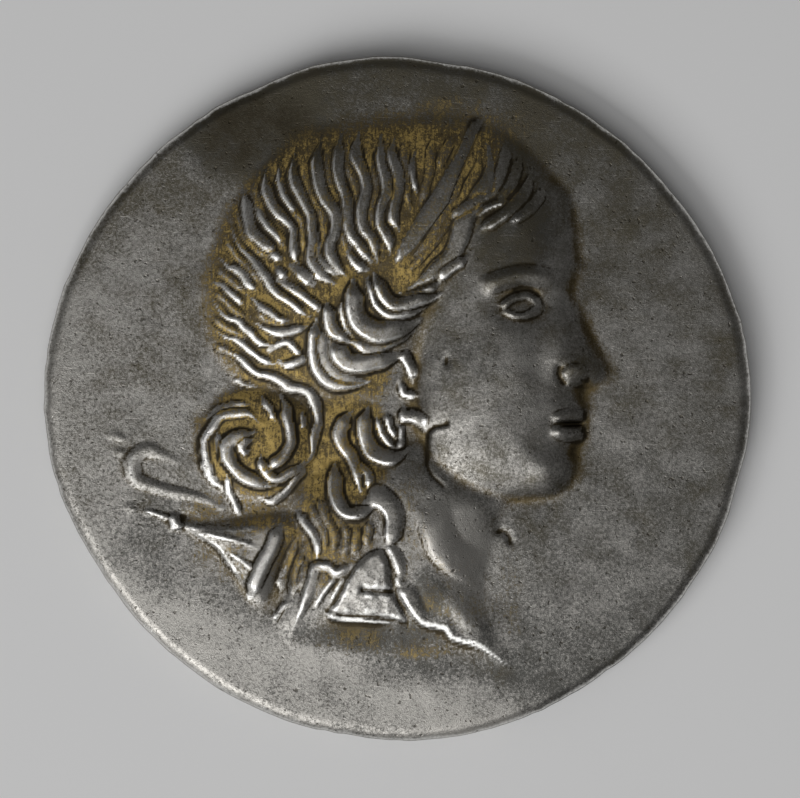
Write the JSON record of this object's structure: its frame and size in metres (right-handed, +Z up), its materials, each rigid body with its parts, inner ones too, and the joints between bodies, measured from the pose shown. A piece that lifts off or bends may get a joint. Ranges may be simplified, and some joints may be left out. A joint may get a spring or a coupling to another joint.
{
  "type": "ancient silver coin",
  "caption": "Broad struck silver coin with a slightly oval flan, a bust with swept hair, bow and quiver in relief on the face and a plain wreath and tripod beneath.",
  "frame": {"origin": "centre of the bounding box at the underside on which the coin rests", "axes": "+Z up out of the face with the bust, +Y towards the crown of the head, +X the way the head looks"},
  "size_m": [0.0332, 0.032, 0.0037],
  "materials": {
    "toned_silver": "old silver, worn bright on the high points and toned brown and gold in the hollows"
  },
  "bodies": {
    "root": {"coin": "toned_silver"}
  },
  "joints": []
}
